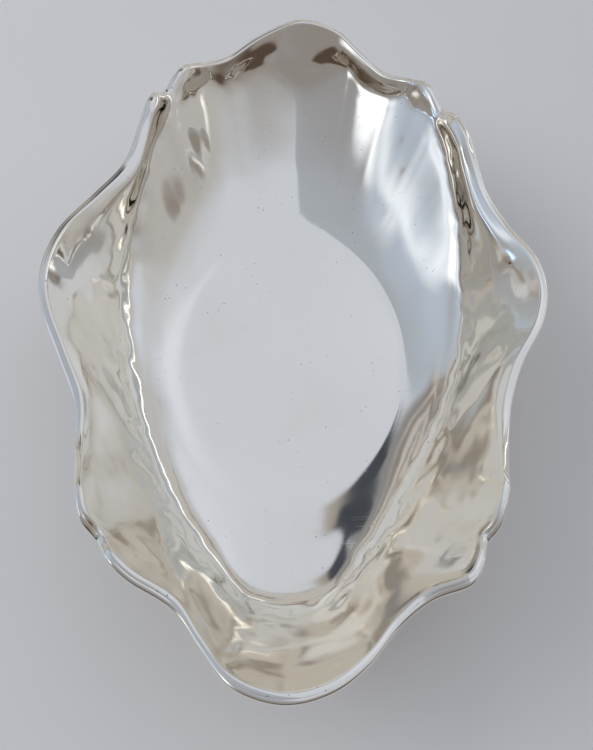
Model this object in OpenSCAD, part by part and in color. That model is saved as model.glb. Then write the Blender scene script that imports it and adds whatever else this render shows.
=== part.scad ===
// Hammered silver sauce dish: a lobed oval bowl raised from one sheet, with a half-round wire soldered
// around the outside of its rim in four lengths that meet at the four notches.
// +Y points to the far lobe, +X to the right lobe; Z = 0 is the table.

/* [Dish] */
// Length over the rim, from the near lobe to the far lobe
dish_l = 247; // [200:1:300]
// Width over the rim, from the left lobe to the right lobe
dish_w = 162; // [130:1:200]
// Height of the tallest bumps on the rim
dish_h = 51; // [40:1:62]
// Thickness of the silver sheet
sheet_t = 1.2; // [0.9:0.1:1.6]

/* [Base] */
// Length of the flat oval that the dish stands on
base_l = 111; // [100:1:120]
// Width of the flat oval
base_w = 81; // [72:1:88]
// Slope of the wall where it leaves the flat oval, in degrees
base_slope = 13; // [8:1:18]

/* [Wall] */
// Straight run up to the crease where the floor turns into the wall
crease_run = 7; // [4:0.5:9]
// How hollow the wall is below that run: 0 straight, 1 evenly curved
wall_hollow = 0.7; // [0:0.1:1]

/* [Rim wire] */
// Width of the half-round wire, down the wall
wire_w = 3.6; // [2.8:0.1:4.2]
// Depth of the half-round wire, straight out from the wall
wire_d = 2.6; // [1.8:0.1:3]
// How far the wire stands outside the edge of the sheet, seen from above
wire_out = 2; // [1.4:0.1:2.4]

/* [Smoothness] */
// Steps along the rim between two of its points
span_steps = 3; // [1:1:4]
// Rings up the wall below the wire
wall_rings = 10; // [6:1:14]
// Rings on the strip that carries the wire
strip_rings = 2; // [1:1:4]
// Steps around the half-round side of the wire
wire_steps = 6; // [4:1:10]

/* [Hidden] */

// Size at which the rim's points below were chosen
drawn_size = [162, 247, 51];

// Length of the straight lead into the foot of the wall
foot_lead = 6;
// Distance over which the direction of a wall line is measured, each way
feel = 0.4;

// The rim's outer line as x, y and height, clockwise. Each list runs from one notch to the next:
// notch, swell, waist, flank, crest, flank, waist, swell.
rim_far = [
    [-51, 83, 45], [-49, 88, 46.5], [-45, 94, 48], [-37, 101.5, 44], [-30, 106.5, 42.5], [-17.5, 117, 45],
    [-2, 123.5, 48],
    [12, 120, 47.3], [21, 112, 44.8], [31.5, 102.5, 42.5], [41, 97.5, 44.5], [46.5, 91, 48], [50.5, 84, 46]
];
rim_right = [
    [52, 80.5, 45], [54, 76, 48.5], [58, 67, 51], [61.5, 56, 46.5], [65, 43.5, 43], [71, 30, 42.6],
    [78.5, 15, 44.5], [80, 2, 45], [76.5, -11.5, 45],
    [69, -25, 43.8], [64.3, -38, 42.5], [62, -50, 43], [59.5, -62, 47], [58, -69, 50], [54.5, -79, 47.5]
];
rim_near = [
    [52, -81.5, 45], [50.5, -87, 46.5], [46.5, -93.5, 47.5], [36.5, -97, 43.5], [28, -103.5, 42.5],
    [19.5, -113.5, 45], [10, -120.5, 47.5],
    [-2, -123.5, 48],
    [-15, -119.7, 46.6], [-23, -111, 43.8], [-31, -101, 42.7], [-42.5, -95, 46.5], [-48, -90.5, 47.8]
];
rim_left = [
    [-52, -84.5, 45], [-56, -80.5, 49], [-58.5, -73, 49.5], [-62, -58.5, 43.5], [-64.5, -43.5, 42.5],
    [-71.5, -28.5, 43.5], [-79, -12.5, 45],
    [-82, 1, 45],
    [-79.5, 18, 44.4], [-70, 35.5, 42.8], [-61.5, 50.5, 42.8], [-58, 66, 46.5], [-54.5, 75.5, 50.5]
];
sides = [rim_far, rim_right, rim_near, rim_left];

// The wall by direction, in degrees from the side lobe: -90 is the near lobe, 90 the far lobe. Distance out
// and height of the crease, the slope that meets it from below, then how far inside and how far below the
// lip the wall turns out to meet it. Towards the far notches the crease climbs up to the rim.
wall_shape = [
    [-90, 96.5, 13, 34, 4, 5.5],
    [-82, 94, 12.7, 34, 3, 4.4],
    [-77, 88.8, 12.3, 35, 2.2, 3.6],
    [-73, 83.8, 12, 36, 1.8, 3.2],
    [-63, 75.5, 11.6, 36, 1.7, 3.2],
    [-57.5, 71.6, 11.4, 37, 1.7, 3],
    [-52, 68.3, 11.3, 38, 1.7, 3],
    [-45, 65, 11.2, 38, 1.8, 3],
    [-33, 61, 11, 38, 2, 3],
    [-15, 58.8, 10.6, 37, 3.5, 5.5],
    [0, 60, 12, 35, 5.5, 8],
    [14, 63, 14.8, 37, 3.6, 5.5],
    [24.5, 66.8, 20, 46, 2.8, 3.4],
    [33, 71.3, 26.5, 51, 2.6, 3],
    [41.5, 76.4, 32, 54, 2.6, 2.4],
    [47.5, 81.5, 36.2, 55, 2.8, 1.8],
    [52, 86, 39, 54, 2.3, 2],
    [58.5, 92.3, 42, 53, 1.4, 1.2],
    [63, 97.3, 42, 51, 1.7, 2],
    [66, 99.8, 40, 49, 1.4, 2.6],
    [69, 101.6, 37.6, 47, 1.5, 3],
    [72, 103.2, 36, 46, 1.7, 3],
    [75, 105.4, 35.6, 46, 1.7, 3],
    [78, 108.4, 36, 46, 1.9, 3],
    [81.5, 112.6, 38.2, 46, 2, 2.8],
    [90, 110, 33.5, 48, 4, 5]
];
// Least distance of the crease from the lip
crease_gap = 2;
// How far the near crease swings towards the left lobe
crease_lean = 7;

// Smooth curve through points: the place at share t of the way from b to c
function gap(p, q) = sqrt(norm(q - p));
function curve(a, b, c, d, t) = let(
        u = gap(a, b),
        v = gap(b, c),
        w = gap(c, d),
        out = (c - b) + v * ((b - a) / u - (c - a) / (u + v)),
        back = (c - b) + v * ((d - c) / w - (d - b) / (v + w)))
    (2*t^3 - 3*t^2 + 1) * b + (t^3 - 2*t^2 + t) * out + (3*t^2 - 2*t^3) * c + (t^3 - t^2) * back;

// Stations along the rim, and the first station of each side
scale_up = [for (i = [0:2]) [dish_w, dish_l, dish_h][i] / drawn_size[i]];
rim_points = [for (side = sides) for (p = side) [for (i = [0:2]) p[i] * scale_up[i]]];
point_count = len(rim_points);
function rim_point(i) = rim_points[(i + point_count) % point_count];
stations = [for (i = [0:point_count - 1]) for (k = [0:span_steps - 1])
    curve(rim_point(i - 1), rim_point(i), rim_point(i + 1), rim_point(i + 2), k / span_steps)];
station_count = len(stations);
function side_start(k) = k == 0 ? 0 : side_start(k - 1) + len(sides[k - 1]) * span_steps;

// The row of wall_shape for a direction, by a smooth curve through its rows
function shape_rise(i) = i == 0 || i == len(wall_shape) - 1
    ? 0 * wall_shape[0]
    : (wall_shape[i + 1] - wall_shape[i - 1]) / (wall_shape[i + 1][0] - wall_shape[i - 1][0]);
function shape_row(a, i = 0) =
    a <= wall_shape[i + 1][0] || i == len(wall_shape) - 2
        ? let(p = wall_shape[i], q = wall_shape[i + 1], span = q[0] - p[0], t = (a - p[0]) / span)
            (2*t^3 - 3*t^2 + 1) * p + (t^3 - 2*t^2 + t) * span * shape_rise(i)
                + (3*t^2 - 2*t^3) * q + (t^3 - t^2) * span * shape_rise(i + 1)
        : shape_row(a, i + 1);

// Inside line of the wall at a station, in its own upright plane, as [distance out, height]
function turn(s) = atan2(s.y, s.x);
function oval(w, l, a) = 1 / sqrt((cos(a) * 2 / w)^2 + (sin(a) * 2 / l)^2);
function wall_knots(s) = let(
        a = turn(s),
        row = shape_row(asin(sin(a))),
        foot = [oval(base_w, base_l, a), sheet_t],
        lip = [norm([s.x, s.y]) - wire_out, s.z],
        stretch = norm([cos(a) * scale_up.x, sin(a) * scale_up.y]),
        lean = crease_lean * cos(a) * max(0, -sin(a))^3,
        crease = [min(row[1] * stretch - lean, lip.x - crease_gap), row[2] * scale_up.z],
        below = crease - crease_run * [cos(row[3]), sin(row[3])],
        sag = wall_hollow * (below.y - foot.y - tan(base_slope) * (below.x - foot.x)) / 4)
    [
        foot - foot_lead * [1, tan(base_slope)],
        foot,
        (foot + below) / 2 - [0, sag],
        below,
        crease,
        lip - [row[4], row[5]],
        lip,
        lip + [row[4], row[5]] / 2
    ];
// Steps of a wall line between two of its knots
fine = 6;
function wall_line(s) = let(p = wall_knots(s)) [
    for (i = [1:len(p) - 3]) for (k = [0:fine - 1]) curve(p[i - 1], p[i], p[i + 1], p[i + 2], k / fine),
    p[len(p) - 2]
];
function lengths(p, i = 0, so_far = 0) =
    i == len(p) ? [] : let(d = so_far + (i > 0 ? norm(p[i] - p[i - 1]) : 0)) [d, each lengths(p, i + 1, d)];

// Rings: the wall below the wire, then the strip that carries it
ring_count = wall_rings + strip_rings;
function ring_place(i, whole) = i <= wall_rings
    ? (whole - wire_w) * i / wall_rings
    : whole - wire_w + wire_w * (i - wall_rings) / strip_rings;
function wall_rows(s) = let(
        line = wall_line(s),
        d = lengths(line),
        out = [for (i = [0:len(line) - 1]) [d[i], line[i].x]],
        up = [for (i = [0:len(line) - 1]) [d[i], line[i].y]])
    [for (i = [0:ring_count]) let(
            m = ring_place(i, d[len(d) - 1]),
            further = [lookup(m + feel, out), lookup(m + feel, up)],
            nearer = [lookup(m - feel, out), lookup(m - feel, up)],
            ahead = further - nearer,
            n = [ahead.y, -ahead.x] / norm(ahead),
            inside = [lookup(m, out), lookup(m, up)])
        [inside, i == 0 ? [inside.x, 0] : inside + sheet_t * n, n]];
rows = [for (s = stations) wall_rows(s)];

// A point of a station's upright plane, placed in space
function place(k, p) = let(a = turn(stations[k])) [p.x * cos(a), p.x * sin(a), p.y];

// Half-round section of the wire on the outside of the strip, from its lower edge round to the lip
function wire_section(k) = let(
        low = rows[k][wall_rings],
        top = rows[k][ring_count],
        mid = (low[1] + top[1]) / 2,
        half = (top[1] - low[1]) / 2)
    [
        for (i = [ring_count:-1:wall_rings]) rows[k][i][1],
        for (i = [1:wire_steps - 1]) let(b = 180 * i / wire_steps)
            mid - half * cos(b) + [wire_d * sin(b), 0]
    ];

// Triangles of a band between two rows of n points that start at numbers i and j
function band(i, j, n, closed = true) = [for (k = [0:n - (closed ? 1 : 2)]) let(m = (k + 1) % n)
    each [[i + k, i + m, j + m], [i + k, j + m, j + k]]];

// The outermost reach of the rim in each direction, which sets the middle of the dish
rim_line = [for (k = [0:station_count - 1]) each [for (p = wire_section(k)) place(k, p)]];
middle = [
    (max([for (p = rim_line) p.x]) + min([for (p = rim_line) p.x])) / 2,
    (max([for (p = rim_line) p.y]) + min([for (p = rim_line) p.y])) / 2,
    0
];

// The raised sheet: floor, inside of the wall, lip, outside of the wall and underside
module bowl() {
    n = station_count;
    inside = [for (i = [0:ring_count]) for (k = [0:n - 1]) place(k, rows[k][i][0])];
    outside = [for (i = [0:ring_count]) for (k = [0:n - 1]) place(k, rows[k][i][1])];
    floor_mid = len(inside) + len(outside);
    below = len(inside);
    points = [each inside, each outside, [0, 0, sheet_t], [0, 0, 0]];
    faces = [
        for (k = [0:n - 1]) [floor_mid, k, (k + 1) % n],
        for (i = [0:ring_count - 1]) each band((i + 1) * n, i * n, n),
        each band(below + ring_count * n, ring_count * n, n),
        for (i = [0:ring_count - 1]) each band(below + i * n, below + (i + 1) * n, n),
        for (k = [0:n - 1]) [floor_mid + 1, below + (k + 1) % n, below + k]
    ];
    color("silver") translate(-middle) polyhedron(points, faces);
}

// One length of half-round wire, from one notch to the next
module rim_wire(side) {
    first = side_start(side);
    count = len(sides[side]) * span_steps + 1;
    corner_count = strip_rings + wire_steps;
    points = [for (k = [0:count - 1]) let(s = (first + k) % station_count)
        for (p = wire_section(s)) place(s, p)];
    faces = [
        [for (i = [0:corner_count - 1]) i],
        for (k = [0:count - 2]) each band((k + 1) * corner_count, k * corner_count, corner_count),
        [for (i = [corner_count - 1:-1:0]) (count - 1) * corner_count + i]
    ];
    color("lightgray") translate(-middle) polyhedron(points, faces);
}

bowl();
rim_wire(0);  // rim_wire_far
rim_wire(1);  // rim_wire_right
rim_wire(2);  // rim_wire_near
rim_wire(3);  // rim_wire_left
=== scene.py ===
"""Hammered silver sauce dish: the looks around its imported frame, in metres."""
import math

import bpy
import numpy as np
from mathutils import Matrix, Vector, noise


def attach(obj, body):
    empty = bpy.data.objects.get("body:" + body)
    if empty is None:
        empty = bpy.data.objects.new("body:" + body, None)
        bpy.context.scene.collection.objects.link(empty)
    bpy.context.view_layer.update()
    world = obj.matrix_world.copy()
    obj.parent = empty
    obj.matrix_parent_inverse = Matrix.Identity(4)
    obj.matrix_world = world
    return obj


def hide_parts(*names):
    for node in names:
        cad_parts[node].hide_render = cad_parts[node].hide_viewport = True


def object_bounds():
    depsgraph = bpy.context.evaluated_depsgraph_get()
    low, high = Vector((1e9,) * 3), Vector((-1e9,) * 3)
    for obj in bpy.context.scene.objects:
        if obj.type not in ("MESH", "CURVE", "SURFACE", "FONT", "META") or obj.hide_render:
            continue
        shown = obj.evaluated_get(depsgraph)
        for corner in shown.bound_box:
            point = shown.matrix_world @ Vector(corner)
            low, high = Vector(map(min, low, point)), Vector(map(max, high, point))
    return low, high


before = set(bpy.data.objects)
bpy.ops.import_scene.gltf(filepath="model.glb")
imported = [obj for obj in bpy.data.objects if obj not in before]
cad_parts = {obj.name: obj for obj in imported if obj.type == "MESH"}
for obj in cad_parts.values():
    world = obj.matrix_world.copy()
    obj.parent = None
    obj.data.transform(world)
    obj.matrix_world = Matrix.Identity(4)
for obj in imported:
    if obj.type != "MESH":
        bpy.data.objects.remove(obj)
cad_low, cad_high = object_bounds()

MM = 0.001

# ---------------------------------------------------------------- design values

# Thickness of the bowl's sheet
SHEET = 1.2 * MM
# The flat oval base across and along, and the slope at which the wall leaves it
BASE = (81 * MM, 111 * MM)
BASE_SLOPE = math.radians(13)
FOOT_LEAD = 6 * MM
# How far the turn of the foot spreads at its softest and its crispest, and by how much it turns
FOOT_SOFT, FOOT_CRISP = 8 * MM, 0.7 * MM
FOOT_TURN = math.radians(15.5)
# The crease: straight run below it, least distance inside the lip, swing towards the left
# lobe, and reach of its dents
CREASE_RUN = 7 * MM
CREASE_GAP = 2 * MM
CREASE_LEAN = 7 * MM
CREASE_REACH = 6 * MM
# How hollow the wall is below the crease: 0 straight, 1 evenly curved
WALL_HOLLOW = 0.7
# The half-round wire: width down the wall, depth straight out, and how far it stands outside
# the sheet
WIRE_WIDTH = 3.6 * MM
WIRE_DEPTH = 2.3 * MM
WIRE_OUT = 2.0 * MM
# Lengths over which rim and wall are blurred round the dish, and the height to which the
# rim's swells level off
SMOOTH_RIM = 1.3 * MM
SMOOTH_WALL = 2.5 * MM
BUMP_TOP = 50.5 * MM
BUMP_SOFT = 1 * MM

# The rim's outer line in millimetres, clockwise. Each side begins at a notch, and its rows are
# swell, waist, crest, waist and swell
RIM = {
    "far": [
        (-51, 83, 45), (-49, 88, 46.5), (-45, 94, 48),
        (-37, 101.5, 44), (-30, 106.5, 42.5), (-17.5, 117, 45),
        (-2, 123.5, 48),
        (12, 120, 47.3), (21, 112, 44.8), (31.5, 102.5, 42.5),
        (41, 97.5, 44.5), (46.5, 91, 48), (50.5, 84, 46),
    ],
    "right": [
        (52, 80.5, 45), (54, 76, 48.5), (58, 67, 51), (61.5, 56, 46.5),
        (65, 43.5, 43), (71, 30, 42.6), (78.5, 15, 44.5),
        (80, 2, 45),
        (76.5, -11.5, 45), (69, -25, 43.8), (64.3, -38, 42.5),
        (62, -50, 43), (59.5, -62, 47), (58, -69, 50), (54.5, -79, 47.5),
    ],
    "near": [
        (52, -81.5, 45), (50.5, -87, 46.5), (46.5, -93.5, 47.5),
        (36.5, -97, 43.5), (28, -103.5, 42.5), (19.5, -113.5, 45), (10, -120.5, 47.5),
        (-2, -123.5, 48),
        (-15, -119.7, 46.6), (-23, -111, 43.8), (-31, -101, 42.7),
        (-42.5, -95, 46.5), (-48, -90.5, 47.8),
    ],
    "left": [
        (-52, -84.5, 45), (-56, -80.5, 49), (-58.5, -73, 49.5),
        (-62, -58.5, 43.5), (-64.5, -43.5, 42.5), (-71.5, -28.5, 43.5), (-79, -12.5, 45),
        (-82, 1, 45),
        (-79.5, 18, 44.4), (-70, 35.5, 42.8), (-61.5, 50.5, 42.8),
        (-58, 66, 46.5), (-54.5, 75.5, 50.5),
    ],
}

# The wall by direction, in degrees from the side lobe: -90 is the near lobe and 90 the far
# lobe. Distance out and height of the crease in millimetres, the slope in degrees that meets
# it from below, then how far inside the lip and how far below it the wall turns out to meet
# it, in millimetres
WALL = [
    (-90, 96.5, 13, 34, 4, 5.5),
    (-82, 94, 12.7, 34, 3, 4.4),
    (-77, 88.8, 12.3, 35, 2.2, 3.6),
    (-73, 83.8, 12, 36, 1.8, 3.2),
    (-63, 75.5, 11.6, 36, 1.7, 3.2),
    (-57.5, 71.6, 11.4, 37, 1.7, 3),
    (-52, 68.3, 11.3, 38, 1.7, 3),
    (-45, 65, 11.2, 38, 1.8, 3),
    (-33, 61, 11, 38, 2, 3),
    (-15, 58.8, 10.6, 37, 3.5, 5.5),
    (0, 60, 12, 35, 5.5, 8),
    (14, 63, 14.8, 37, 3.6, 5.5),
    (24.5, 66.8, 20, 46, 2.8, 3.4),
    (33, 71.3, 26.5, 51, 2.6, 3),
    (41.5, 76.4, 32, 54, 2.6, 2.4),
    (47.5, 81.5, 36.2, 55, 2.8, 1.8),
    (52, 86, 39, 54, 2.3, 2),
    (58.5, 92.3, 42, 53, 1.4, 1.2),
    (63, 97.3, 42, 51, 1.7, 2),
    (66, 99.8, 40, 49, 1.4, 2.6),
    (69, 101.6, 37.6, 47, 1.5, 3),
    (72, 103.2, 36, 46, 1.7, 3),
    (75, 105.4, 35.6, 46, 1.7, 3),
    (78, 108.4, 36, 46, 1.9, 3),
    (81.5, 112.6, 38.2, 46, 2, 2.8),
    (90, 110, 33.5, 48, 4, 5),
]

# Hammer marks as (depth, size, noise seed), depth and size in millimetres
MARKS = [(0.17, 11, 1), (0.04, 5.5, 2)]
FACET_DEPTH, FACET_SIZE, FACET_SEED = 0.05, 9 * MM, 3
CREASE_MARKS = [(0.50, 8, 7), (0.16, 4, 8)]
WARP = [(0.40, 42, 4)]
CALM = [(0.012, 12, 5), (0.02, 30, 6)]
# Strength of the marks inside the crease, how much of it goes by FAR_CALM towards the far
# lobe, and what the flange outside the crease adds over FLANGE_BLEND
INNER_MARKS, FAR_LOSS, FLANGE_MARKS = 0.40, 0.18, 0.95
FAR_CALM = 50 * MM
FLANGE_BLEND = 10 * MM
# Shares of the wall over which the marks begin above the foot and end below the lip, and what
# is left there
MARKS_START, MARKS_RISE = 0.02, 0.38
LIP_FADE, LIP_MARKS = 0.10, 0.2
# Most that the sheet's outer corner runs on, in thicknesses, the least lean it is reckoned
# with, and how round the lip's edge is
LEVEL_LIMIT, LEAST_LEAN = 1.2, 0.05
EDGE_HUMP = 0.35

# Fineness of the mesh
STATION_GAP = 0.9 * MM
LEAST_STEPS = 3
KNOT_STEPS = 24
CREASE_STEP = 3 * KNOT_STEPS
WALL_RINGS = 96
# Rings lie closer to each other towards the lip and towards the inner corner of its edge
WALL_CROWDING = 0.9
EDGE_CROWDING = 1.5
FLOOR_RINGS = 44
FLOOR_INNER = 0.02
UNDERSIDE_RINGS = 8
UNDERSIDE_INNER = 0.04
EDGE_STEPS = 6
STRIP_STEPS = 4
WIRE_STEPS = 16
# Share of a step between a sharp corner and the ring that holds it
CORNER = 0.04

# ---------------------------------------------------------------- the dish's surface


def eased(t):
    """Share t from 0 to 1, eased at both ends."""
    return t * t * (3 - 2 * t)


def hermite(start, out, end, back, t):
    """The point at share t of a curve from start, left at rate out, to end, met at rate back."""
    return ((2*t**3 - 3*t**2 + 1) * start + (t**3 - 2*t**2 + t) * out
            + (3*t**2 - 2*t**3) * end + (t**3 - t**2) * back)


def curve(a, b, c, d, t):
    """The point at share t from b to c of a smooth curve through rows of points a, b, c and d."""
    gaps = ((a, b), (b, c), (c, d))
    u, v, w = (np.sqrt(np.linalg.norm(q - p, axis=-1, keepdims=True)) for p, q in gaps)
    out = (c - b) + v * ((b - a) / u - (c - a) / (u + v))
    back = (c - b) + v * ((d - c) / w - (d - b) / (v + w))
    return hermite(b, out, c, back, t)


def smooth_loop(values, gap, reach):
    """Values round a closed loop, blurred over a distance of reach."""
    half = int(3 * reach / gap)
    steps = np.arange(-half, half + 1)
    weights = np.exp(-0.5 * (steps * gap / reach) ** 2)
    weights /= weights.sum()
    return sum(w * np.roll(values, k, axis=0) for w, k in zip(weights, steps))


def rim_stations():
    """Points along the rim's outer line, and the first station of each side."""
    points = np.array([p for side in RIM.values() for p in side], float) * MM
    count = len(points)
    stations, starts = [], []
    firsts = np.cumsum([0] + [len(side) for side in RIM.values()])[:-1]
    for i in range(count):
        a, b, c, d = (points[(i + k) % count] for k in (-1, 0, 1, 2))
        if i in firsts:
            starts.append(len(stations))
        steps = max(LEAST_STEPS, round(float(np.linalg.norm(c - b)) / STATION_GAP))
        stations += [curve(a, b, c, d, k / steps) for k in range(steps)]
    rim = smooth_loop(np.array(stations), STATION_GAP, SMOOTH_RIM)
    over = np.maximum(rim[:, 2] - BUMP_TOP + BUMP_SOFT, 0)
    rim[:, 2] -= over * (1 - 1 / (1 + over / BUMP_SOFT))
    return rim, starts


def oval(size, turn):
    """Distance from the middle of an oval to its edge in each direction."""
    return 1 / np.sqrt((np.cos(turn) * 2 / size[0]) ** 2 + (np.sin(turn) * 2 / size[1]) ** 2)


def wall_rows(turn):
    """WALL's values in each direction, on a smooth curve through its rows."""
    rows = np.array(WALL, float)
    angle = np.degrees(np.arcsin(np.sin(turn)))
    rise = np.zeros_like(rows)
    rise[1:-1] = (rows[2:] - rows[:-2]) / (rows[2:, :1] - rows[:-2, :1])
    i = np.clip(np.searchsorted(rows[:, 0], angle) - 1, 0, len(rows) - 2)
    span = rows[i + 1, :1] - rows[i, :1]
    t = (angle[:, None] - rows[i, :1]) / span
    return hermite(rows[i], span * rise[i], rows[i + 1], span * rise[i + 1], t)


def wall_lines(stations):
    """The inside line of the wall at each station as [distance out, height], finely stepped."""
    turn = np.arctan2(stations[:, 1], stations[:, 0])
    row = smooth_loop(wall_rows(turn), STATION_GAP, SMOOTH_WALL)
    slope = np.radians(row[:, 3:4])
    foot = np.stack([oval(BASE, turn), np.full(len(turn), SHEET)], -1)
    lip = np.stack([np.hypot(stations[:, 0], stations[:, 1]) - WIRE_OUT, stations[:, 2]], -1)
    turn_out = row[:, 4:6] * MM
    crease = row[:, 1:3] * MM
    crease[:, 0] -= CREASE_LEAN * np.cos(turn) * np.maximum(-np.sin(turn), 0) ** 3
    crease[:, 0] = np.minimum(crease[:, 0], lip[:, 0] - CREASE_GAP)
    below = crease - CREASE_RUN * np.concatenate([np.cos(slope), np.sin(slope)], 1)
    run = below - foot
    sag = WALL_HOLLOW * (run[:, 1:] - math.tan(BASE_SLOPE) * run[:, :1]) / 4
    knots = [
        foot - FOOT_LEAD * np.array([1, math.tan(BASE_SLOPE)]),
        foot,
        (foot + below) / 2 - sag * np.array([0, 1]),
        below,
        crease,
        lip - turn_out,
        lip,
        lip + turn_out / 2,
    ]
    steps = [(i, k / KNOT_STEPS) for i in range(1, 6) for k in range(KNOT_STEPS)]
    line = [curve(*knots[i - 1:i + 3], t) for i, t in steps]
    return np.stack([*line, lip], 1)


def spaced(line, places):
    """Each line's points at the given distances along it."""
    step = np.linalg.norm(np.diff(line, axis=1), axis=2)
    along = np.concatenate([np.zeros((len(line), 1)), np.cumsum(step, 1)], 1)
    return np.stack([
        np.stack([np.interp(p, d, row[:, 0]), np.interp(p, d, row[:, 1])], -1)
        for p, d, row in zip(places, along, line)
    ])


def line_lengths(line):
    """Length of each line."""
    return np.linalg.norm(np.diff(line, axis=1), axis=2).sum(1)


def in_space(turn, rows):
    """Points [distance out, height] of each station's upright plane, placed in space."""
    out = rows[..., 0]
    return np.stack([out * np.cos(turn)[:, None], out * np.sin(turn)[:, None], rows[..., 1]], -1)


def grid_normals(grid):
    """Upward normals of a grid of points, clockwise on its first axis and out on its second."""
    along = np.roll(grid, -1, 0) - np.roll(grid, 1, 0)
    across = np.gradient(grid, axis=1)
    normal = np.cross(along, across)
    return normal / np.maximum(np.linalg.norm(normal, axis=2, keepdims=True), 1e-12)


# ---------------------------------------------------------------- hammer marks


def ripple(points, size, seed):
    """Smooth noise at each point, with bumps of about that size."""
    shift = Vector((seed * 7.3, seed * 3.1, seed * 5.7))
    flat = points.reshape(-1, 3) / size
    return np.array([noise.noise(Vector(p) + shift) for p in flat]).reshape(points.shape[:-1])


def facets(points, size, seed):
    """Shallow overlapping blows: 0 in the middle of each, rising to the ridges between them."""
    shift = Vector((seed * 4.9, seed * 8.3, seed * 2.2))
    flat = points.reshape(-1, 3) / size
    near = np.array([noise.voronoi(Vector(p) + shift)[0][0] for p in flat])
    return near.reshape(points.shape[:-1]) ** 2


def ripples(points, layers):
    """Several ripples added up, in millimetres."""
    return sum(depth * ripple(points, size * MM, seed) for depth, size, seed in layers)


def hammered(points, share, crease=0.0):
    """How far the hammer moved the sheet, along its normal.

    share is 0 on the floor and highest on the flange; crease is 1 on the crease, where blows
    are heaviest.
    """
    marks = ripples(points, MARKS) + FACET_DEPTH * facets(points, FACET_SIZE, FACET_SEED)
    marks = marks + crease * ripples(points, CREASE_MARKS) + ripples(points, WARP)
    return (share * marks + (1 - share) * ripples(points, CALM)) * MM


# ---------------------------------------------------------------- meshes


def mesh_object(name, points, faces):
    """A smooth-shaded object in the scene, from points and faces."""
    mesh = bpy.data.meshes.new(name)
    mesh.from_pydata(points.tolist(), [], faces)
    mesh.validate()
    mesh.polygons.foreach_set("use_smooth", [True] * len(mesh.polygons))
    mesh.update()
    made = bpy.data.objects.new(name, mesh)
    bpy.context.scene.collection.objects.link(made)
    return made


def loop_faces(first, second, count):
    """Quads of a closed band between two rings of count points, numbered from first and second."""
    k = np.arange(count)
    m = (k + 1) % count
    return np.stack([first + k, first + m, second + m, second + k], -1).tolist()


def tube_faces(rings, count):
    """Quads of a tube through that many rings of count points."""
    return [f for i in range(rings - 1) for f in loop_faces(i * count, (i + 1) * count, count)]


stations, side_starts = rim_stations()
turn = np.arctan2(stations[:, 1], stations[:, 0])
lines = wall_lines(stations)
whole = line_lengths(lines)


def softened_foot(points):
    """Lift that rounds the edge of the flat oval: crisp on the right, soft all round elsewhere."""
    angle = np.arctan2(points[..., 1], points[..., 0])
    reach = (FOOT_SOFT - FOOT_CRISP) * (1 - np.clip(np.cos(angle), 0, 1) ** 2) + FOOT_CRISP
    beyond = np.hypot(points[..., 0], points[..., 1]) - oval(BASE, angle)
    rounded = np.clip(beyond + reach, 0, 2 * reach) ** 2 / (4 * reach)
    lift = np.where(np.abs(beyond) < reach, rounded - np.maximum(beyond, 0), 0)
    return math.tan(FOOT_TURN) * lift


def crease_share(rows):
    """1 on the crease, fading out over CREASE_REACH each way."""
    knot = lines[:, CREASE_STEP]
    away = np.linalg.norm(rows - knot[:, None], axis=2)
    return np.exp(-(away / CREASE_REACH) ** 2)


def beyond_crease(places):
    """0 inside the crease and 1 on the wall outside it, for distances along each wall line."""
    crease_place = line_lengths(lines[:, :CREASE_STEP + 1])
    return eased(np.clip((places - crease_place[:, None]) / FLANGE_BLEND + 0.5, 0, 1))


def line_normals(rows):
    """Outward normals of lines [distance out, height], in their own upright planes."""
    ahead = np.gradient(rows, axis=1)
    normal = np.stack([ahead[..., 1], -ahead[..., 0]], -1)
    return normal / np.linalg.norm(normal, axis=2, keepdims=True)


def levelled(normal):
    """How far the sheet's outer corner runs on up, to bring its edge level with the wire's top."""
    rise, out = normal[:, :1], -normal[:, 1:]
    run = SHEET * np.minimum(out / np.maximum(rise, LEAST_LEAN), LEVEL_LIMIT)
    return run * np.concatenate([out, rise], 1)


def sheet_grids():
    """Inside of the wall as a grid of points, and the outside of it, with hammer marks."""
    share = np.linspace(0, 1, WALL_RINGS + 1) ** WALL_CROWDING
    places = np.outer(whole, share)
    rows = spaced(lines, places)
    grid = in_space(turn, rows)
    normal = grid_normals(grid)
    rising = eased(np.clip((share - MARKS_START) / MARKS_RISE, 0, 1))
    fading = np.clip((1 - share) / LIP_FADE, LIP_MARKS, 1)
    far = np.clip(grid[..., 1] / FAR_CALM, 0, 1)
    beyond = beyond_crease(places)
    strength = rising * (INNER_MARKS - FAR_LOSS * far * (1 - beyond) + FLANGE_MARKS * beyond)
    moved = hammered(grid, strength, crease_share(rows)) * fading
    inside = grid + normal * moved[..., None]
    inside[..., 2] += softened_foot(grid)
    normal = grid_normals(inside)
    outside = inside - normal * SHEET
    outside[:, 0] = grid[:, 0] * np.array([1, 1, 0])
    run_on = levelled(line_normals(rows)[:, -1])
    outside[:, -1] += in_space(turn, run_on[:, None])[:, 0]
    return inside, outside


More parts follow.
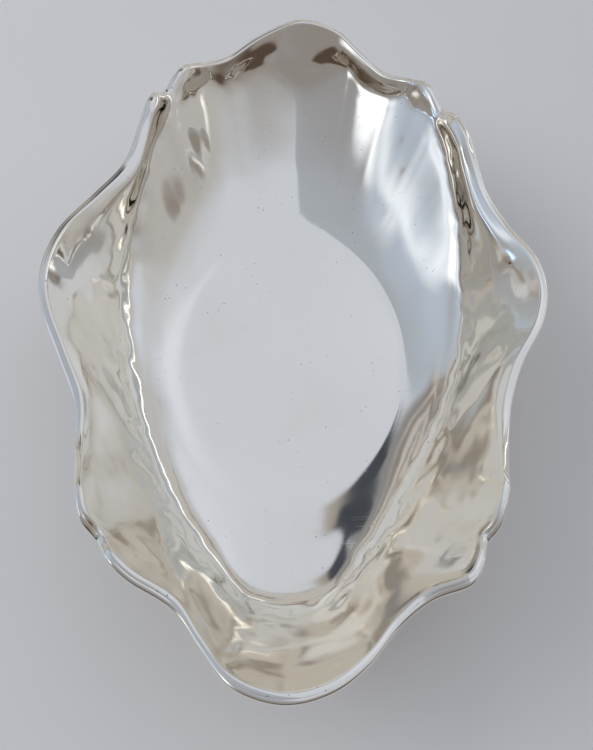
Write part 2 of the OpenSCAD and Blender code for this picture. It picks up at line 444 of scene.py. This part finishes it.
def bowl():
    """The raised sheet: floor, wall with hammer marks, rounded lip and underside."""
    inside, outside = sheet_grids()
    count = len(stations)
    rings = []
    for s in np.linspace(FLOOR_INNER, 1, FLOOR_RINGS + 1)[:-1]:
        ring = inside[:, 0] * np.array([s, s, 0]) + np.array([0, 0, SHEET])
        ring[:, 2] += softened_foot(ring)
        ring[:, 2] += hammered(ring[:, None, :], 0)[:, 0]
        rings.append(ring)
    rings += [inside[:, i] for i in range(WALL_RINGS + 1)]
    lip_in, lip_out = inside[:, -1], outside[:, -1]
    forward = lip_in - inside[:, -2]
    forward /= np.linalg.norm(forward, axis=1, keepdims=True)
    for t in [(k / EDGE_STEPS) ** EDGE_CROWDING for k in range(1, EDGE_STEPS)] + [1 - CORNER]:
        hump = math.sqrt(t) * (1 - t) * EDGE_HUMP * SHEET
        rings.append(lip_in + (lip_out - lip_in) * t + forward * hump)
    rings += [outside[:, i] for i in range(WALL_RINGS, -1, -1)]
    underside_share = np.linspace(1, UNDERSIDE_INNER, UNDERSIDE_RINGS)[1:]
    rings += [outside[:, 0] * np.array([s, s, 0]) for s in underside_share]
    points = np.concatenate([*rings, [[0, 0, SHEET], [0, 0, 0]]])
    faces = tube_faces(len(rings), count)
    top_middle, low_middle, last_ring = len(points) - 2, len(points) - 1, (len(rings) - 1) * count
    faces += [[top_middle, (k + 1) % count, k] for k in range(count)]
    faces += [[low_middle, last_ring + k, last_ring + (k + 1) % count] for k in range(count)]
    return points, faces


def rim_wire(side):
    """One length of half-round wire against the outside of the sheet, from notch to notch."""
    count = len(stations)
    first = side_starts[side]
    last = side_starts[side + 1] if side + 1 < len(side_starts) else count
    steps = np.arange(STRIP_STEPS + 1) / STRIP_STEPS
    rows = spaced(lines, whole[:, None] - WIRE_WIDTH * (1 - steps))
    normal = line_normals(rows)
    flat = rows + normal * SHEET
    flat[:, -1] += levelled(normal[:, -1])
    low, top = flat[:, 0], flat[:, -1]
    mid, half = (low + top) / 2, (top - low) / 2
    section = [flat[:, i] for i in range(STRIP_STEPS, -1, -1)]
    for i in [CORNER, *range(1, WIRE_STEPS), WIRE_STEPS - CORNER]:
        b = math.pi * i / WIRE_STEPS
        section.append(mid - half * math.cos(b) + np.array([WIRE_DEPTH * math.sin(b), 0]))
    grid = in_space(turn, np.stack(section, 1))
    along = [k % count for k in range(first, last + 1)]
    corners = grid.shape[1]
    points = grid[along].reshape(-1, 3)
    faces = tube_faces(len(along), corners)
    faces += [list(range(corners))[::-1], [(len(along) - 1) * corners + k for k in range(corners)]]
    return points, faces


pieces = {"bowl": bowl()}
for number, side in enumerate(RIM):
    pieces["rim_wire_" + side] = rim_wire(number)

# The dish stands with the middle of its rim over the middle of the frame's own box
rim_points = np.concatenate([points for name, (points, _) in pieces.items() if name != "bowl"])
cad_middle = (np.array(cad_low) + np.array(cad_high)) / 2
shift = cad_middle - (rim_points.min(0) + rim_points.max(0)) / 2
shift[2] = 0

made = {}
for name, (points, faces) in pieces.items():
    made[name] = mesh_object(name + "_silver", points + shift, faces)

# ---------------------------------------------------------------- silver


class Nodes:
    """A few shorthands for building a node tree."""

    def __init__(self, tree, coordinates):
        self.tree = tree
        self.tree.nodes.clear()
        self.place = self.add("ShaderNodeTexCoord").outputs[coordinates]

    def add(self, kind, **values):
        node = self.tree.nodes.new(kind)
        for key, value in values.items():
            setattr(node, key, value)
        return node

    def link(self, source, target):
        self.tree.links.new(source, target)

    def feed(self, socket, value):
        """Set a socket to a number or a colour, or link it to another node's output."""
        if isinstance(value, tuple):
            socket.default_value = (*value, 1)
        elif isinstance(value, (int, float)):
            socket.default_value = value
        else:
            self.link(value, socket)

    def noise(self, scale, detail=2.0, stretch=(1, 1, 1), turn=(0, 0, 0), distortion=0.0):
        mapping = self.add("ShaderNodeMapping")
        mapping.inputs["Scale"].default_value = stretch
        mapping.inputs["Rotation"].default_value = turn
        self.link(self.place, mapping.inputs["Vector"])
        texture = self.add("ShaderNodeTexNoise")
        texture.inputs["Scale"].default_value = scale
        texture.inputs["Detail"].default_value = detail
        texture.inputs["Distortion"].default_value = distortion
        self.link(mapping.outputs["Vector"], texture.inputs["Vector"])
        return texture.outputs["Fac"]

    def ramp(self, value, low, high, start=0.0, end=1.0, smooth=False):
        """From low, where the value is start, to high, where it is end, and no further."""
        kind = "SMOOTHSTEP" if smooth else "LINEAR"
        node = self.add("ShaderNodeMapRange", interpolation_type=kind)
        limits = {"From Min": start, "From Max": end, "To Min": low, "To Max": high}
        for name, number in limits.items():
            node.inputs[name].default_value = number
        self.link(value, node.inputs["Value"])
        return node.outputs["Result"]

    def math(self, operation, a, b=0.0):
        node = self.add("ShaderNodeMath", operation=operation)
        self.feed(node.inputs[0], a)
        self.feed(node.inputs[1], b)
        return node.outputs["Value"]

    def mix(self, share, a, b):
        node = self.add("ShaderNodeMix", data_type="RGBA")
        for number, value in ((0, share), (6, a), (7, b)):
            self.feed(node.inputs[number], value)
        return node.outputs[2]


class Material(Nodes):
    """A material's node tree, with its shader."""

    def __init__(self, name):
        self.material = bpy.data.materials.new(name)
        self.material.use_nodes = True
        super().__init__(self.material.node_tree, "Object")
        self.shader = self.add("ShaderNodeBsdfPrincipled")
        output = self.add("ShaderNodeOutputMaterial")
        self.link(self.shader.outputs["BSDF"], output.inputs["Surface"])


CLEAN_SILVER, HAZY_SILVER, PIT = (0.955, 0.925, 0.865), (0.935, 0.89, 0.81), (0.30, 0.28, 0.26)
# Fineness of the warm haze, of the clouds in the polish and of its grain
HAZE_SCALE, CLOUD_SCALE, GRAIN_SCALE = 28, 45, 330
# Fineness of the dark pits and of the patches they keep to
PIT_SCALE, PATCH_SCALE = 420, 95
PIT_STRENGTH = 0.7
# Roughness between the clouds and in them
POLISH_ROUGHNESS = (0.045, 0.12)
# Wiping scratches: direction in radians and fineness across
SCRATCHES = [(0.3, 1300), (1.25, 1500), (2.1, 1100)]
SCRATCH_LENGTHWAYS = 60
SCRATCH_ROUGHNESS, SCRATCH_DEPTH, GRAIN_HEIGHT = 0.08, 0.6, 0.35
BUMP_STRENGTH, BUMP_DISTANCE = 0.35, 0.012 * MM


def silver(name, scratches, specks):
    """Polished silver: soft cloudy polish, fine wiping scratches, warm haze and a few dark pits."""
    n = Material(name)
    haze = n.ramp(n.noise(HAZE_SCALE, detail=4, distortion=0.6), 0, 1, start=0.42, end=0.70)
    tint = n.mix(haze, CLEAN_SILVER, HAZY_SILVER)
    if specks:
        cells = n.add("ShaderNodeTexVoronoi")
        cells.inputs["Scale"].default_value = PIT_SCALE
        n.link(n.place, cells.inputs["Vector"])
        pit = n.ramp(cells.outputs["Distance"], 1, 0, start=0.06, end=0.16)
        rare = n.ramp(n.noise(PATCH_SCALE), 0, 1, start=0.54, end=0.64)
        pitted = n.math("MULTIPLY", n.math("MULTIPLY", pit, rare), PIT_STRENGTH)
        tint = n.mix(pitted, tint, PIT)
    n.link(tint, n.shader.inputs["Base Color"])
    n.shader.inputs["Metallic"].default_value = 1
    clouds = n.noise(CLOUD_SCALE, detail=3, distortion=0.4)
    polish = n.ramp(clouds, *POLISH_ROUGHNESS, start=0.3, end=0.7)
    lines = None
    for angle, fineness in SCRATCHES:
        stretch = (SCRATCH_LENGTHWAYS, fineness, SCRATCH_LENGTHWAYS)
        streaks = n.noise(1, detail=1, stretch=stretch, turn=(0, 0, angle))
        line = n.ramp(streaks, 0, 1, start=0.66, end=0.80)
        lines = line if lines is None else n.math("ADD", lines, line)
    rough = n.math("ADD", polish, n.math("MULTIPLY", lines, SCRATCH_ROUGHNESS * scratches))
    n.link(rough, n.shader.inputs["Roughness"])
    grain = n.ramp(n.noise(GRAIN_SCALE), 0, GRAIN_HEIGHT)
    height = n.math("ADD", n.math("MULTIPLY", lines, -SCRATCH_DEPTH * scratches), grain)
    bump = n.add("ShaderNodeBump")
    bump.inputs["Strength"].default_value = BUMP_STRENGTH
    bump.inputs["Distance"].default_value = BUMP_DISTANCE
    n.link(height, bump.inputs["Height"])
    n.link(bump.outputs["Normal"], n.shader.inputs["Normal"])
    return n.material


sheet_silver = silver("sheet_silver", scratches=1.0, specks=True)
wire_silver = silver("wire_silver", scratches=0.5, specks=False)

for name, piece in made.items():
    is_bowl = name == "bowl"
    piece.data.materials.append(sheet_silver if is_bowl else wire_silver)
    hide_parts(name)
    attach(piece, "root")

# ---------------------------------------------------------------- floor, light and camera

FLOOR_HALF = 2.5
FLOOR_DROP = 0.05 * MM
PAPER_GREY, PAPER_WHITE = (0.84, 0.83, 0.82), (0.88, 0.87, 0.86)
LAMP_PLACE, LAMP_SIZE, LAMP_POWER = (-1.05, 0.30, 0.75), 0.9, 5
# The camera's lens in millimetres, its place, and its tilt, yaw and roll in degrees
LENS = 36
CAMERA_PLACE = (-0.0069, -0.1392, 0.2419)
CAMERA_TURNS = (28.29, -4.04, 5.76)

# Colours of the room around the dish. The right half is pale and the left half cool, and both
# are darker behind
PALE, GREY, WARM_HORIZON = (0.585, 0.63, 0.715), (0.46, 0.46, 0.465), (0.38, 0.35, 0.325)
COOL_HORIZON, COOL, COOL_ABOVE = (0.36, 0.38, 0.41), (0.455, 0.54, 0.67), (0.385, 0.425, 0.49)
BACK_LOW, BACK_HIGH, BACK_LEFT = (0.27, 0.245, 0.225), (0.30, 0.285, 0.275), (0.27, 0.255, 0.25)
DARK_BEHIND = (0.085, 0.06, 0.047)
FRONT_LIGHT, FRONT_DARK = (0.50, 0.49, 0.48), (0.25, 0.225, 0.205)
SEEN_BACKGROUND = (0.80, 0.81, 0.83)

# Soft-edged panels of light or shade: azimuth from +X, elevation, half width, half height and
# lean, all in degrees, then softness of the edges and colour
PANELS = [
    (-160, 33, 9, 8, 0, 0.95, (1.7, 1.78, 1.9)),
    (-177, 23, 7, 6, 0, 0.95, (0.88, 0.96, 1.08)),
    (178, 0, 5, 4.5, 0, 0.6, (1.1, 1.6, 2.6)),
    (33, 16, 21, 1.6, 0, 0.4, (2.2, 2.2, 2.2)),
    (69, 15, 14, 1.0, 0, 0.5, (1.5, 1.48, 1.45)),
    (50, 50, 12, 9, 0, 0.8, (0.70, 0.75, 0.84)),
    (117, 36, 5, 10, 20, 0.4, (0.24, 0.245, 0.26)),
    (110, 42, 4.6, 9, 20, 0.2, (0.05, 0.058, 0.072)),
    (102, 41, 1.8, 9, 20, 0.4, (0.36, 0.33, 0.30)),
]


def floor():
    """A plain pale sheet under the dish, large enough to be the dish's horizon."""
    edge = FLOOR_HALF
    square = ((-edge, -edge), (edge, -edge), (edge, edge), (-edge, edge))
    corners = np.array([(x, y, -FLOOR_DROP) for x, y in square])
    made_floor = mesh_object("floor", corners, [[0, 1, 2, 3]])
    n = Material("floor_paper")
    n.link(n.mix(n.noise(9), PAPER_GREY, PAPER_WHITE), n.shader.inputs["Base Color"])
    n.shader.inputs["Roughness"].default_value = 0.85
    made_floor.data.materials.append(n.material)


def toward(azimuth, elevation=0):
    """The direction at an azimuth from +X and an elevation, in degrees."""
    a, e = math.radians(azimuth), math.radians(elevation)
    return Vector((math.cos(a) * math.cos(e), math.sin(a) * math.cos(e), math.sin(e)))


def room():
    """Soft studio surroundings for the silver to reflect."""
    world = bpy.data.worlds.new("studio")
    bpy.context.scene.world = world
    world.use_nodes = True
    n = Nodes(world.node_tree, "Generated")

    def facing(axis):
        """How squarely the direction seen faces an axis: 1 along it and -1 away from it."""
        node = n.add("ShaderNodeVectorMath", operation="DOT_PRODUCT")
        n.link(n.place, node.inputs[0])
        node.inputs[1].default_value = axis
        return node.outputs["Value"]

    def step(value, start, full):
        """0 at start and 1 at full, eased between them."""
        return n.ramp(value, 0, 1, start, full, smooth=True)

    def layered(colour, *layers):
        """A colour with others laid over it, each as (measure, start, where it is full, colour)."""
        for measure, start, full, over in layers:
            colour = n.mix(step(measure, start, full), colour, over)
        return colour

    def panel(azimuth, elevation, half_w, half_h, lean, soft):
        """Share of a soft-edged rectangle seen in one direction; sizes and lean in degrees."""
        axis = toward(azimuth, elevation)
        across = Vector((0, 0, 1)).cross(axis).normalized()
        over = axis.cross(across)
        turned = Matrix.Rotation(math.radians(lean), 3, axis)
        share = step(facing(axis), 0.0, 0.1)
        for direction, half in ((turned @ across, half_w), (turned @ over, half_h)):
            limit = math.sin(math.radians(half))
            away = n.math("ABSOLUTE", facing(direction))
            share = n.math("MULTIPLY", share, step(away, limit * (1 + soft), limit * (1 - soft)))
        return share

    up = facing(Vector((0, 0, 1)))
    east = layered(
        PALE,
        (up, 0.70, 0.30, GREY),
        (up, 0.16, 0.02, WARM_HORIZON),
        (facing(toward(-75)), 0.18, 0.66, layered(BACK_LOW, (up, 0.35, 0.75, BACK_HIGH))),
    )
    west = layered(
        COOL_HORIZON,
        (up, 0.05, 0.28, COOL),
        (up, 0.50, 0.85, COOL_ABOVE),
        (facing(toward(-105)), 0.05, 0.75, BACK_LEFT),
    )
    colour = layered(east, (facing(Vector((-1, -0.6, 0))), 0.04, 0.08, west))
    streaks = n.noise(1.7, detail=3, stretch=(1.3, 1.3, 5), distortion=0.9)
    front = layered(FRONT_LIGHT, (streaks, 0.52, 0.565, FRONT_DARK))
    in_front = n.math("MULTIPLY", step(facing(toward(100)), 0.50, 0.70), step(up, 0.66, 0.52))
    colour = n.mix(in_front, colour, front)
    backward = facing(toward(-78))
    low_behind = n.math("SUBTRACT", up, n.math("MULTIPLY", backward, 0.25))
    behind = n.math("MULTIPLY", step(low_behind, 0.30, 0.18), step(backward, 0.48, 0.68))
    colour = n.mix(behind, colour, DARK_BEHIND)
    for *where, light in PANELS:
        colour = n.mix(panel(*where), colour, light)
    seen = n.add("ShaderNodeLightPath").outputs["Is Camera Ray"]
    colour = n.mix(seen, colour, SEEN_BACKGROUND)
    background = n.add("ShaderNodeBackground")
    n.link(colour, background.inputs["Color"])
    background.inputs["Strength"].default_value = 1.0
    output = n.add("ShaderNodeOutputWorld")
    n.link(background.outputs[0], output.inputs["Surface"])


def aimed_at_middle(place):
    """The turn that points a lamp at a place towards the middle of the floor."""
    return (-Vector(place)).to_track_quat("-Z", "Y").to_euler()


def key_light():
    """A large soft window-like light from the far left; its shadow falls to the near right."""
    light = bpy.data.lights.new("window_light", "AREA")
    light.shape = "RECTANGLE"
    light.size, light.size_y = LAMP_SIZE, LAMP_SIZE
    light.energy = LAMP_POWER
    light.color = (0.97, 0.98, 1.0)
    lamp = bpy.data.objects.new("window_light", light)
    lamp.visible_glossy = False
    lamp.location = LAMP_PLACE
    lamp.rotation_euler = aimed_at_middle(lamp.location)
    bpy.context.scene.collection.objects.link(lamp)


def camera():
    """A hand-held view from over the near lobe, looking down."""
    lens = bpy.data.cameras.new("camera")
    lens.lens = LENS
    lens.clip_start, lens.clip_end = 0.01, 20
    eye = bpy.data.objects.new("camera", lens)
    tilt, yaw, roll = (math.radians(angle) for angle in CAMERA_TURNS)
    aim = Matrix.Rotation(yaw, 4, "Z") @ Matrix.Rotation(tilt, 4, "X")
    aim = aim @ Matrix.Rotation(roll, 4, "Z")
    eye.matrix_world = Matrix.Translation(CAMERA_PLACE) @ aim
    bpy.context.scene.collection.objects.link(eye)
    bpy.context.scene.camera = eye


floor()
room()
key_light()
camera()
bpy.context.scene.view_settings.view_transform = "Standard"
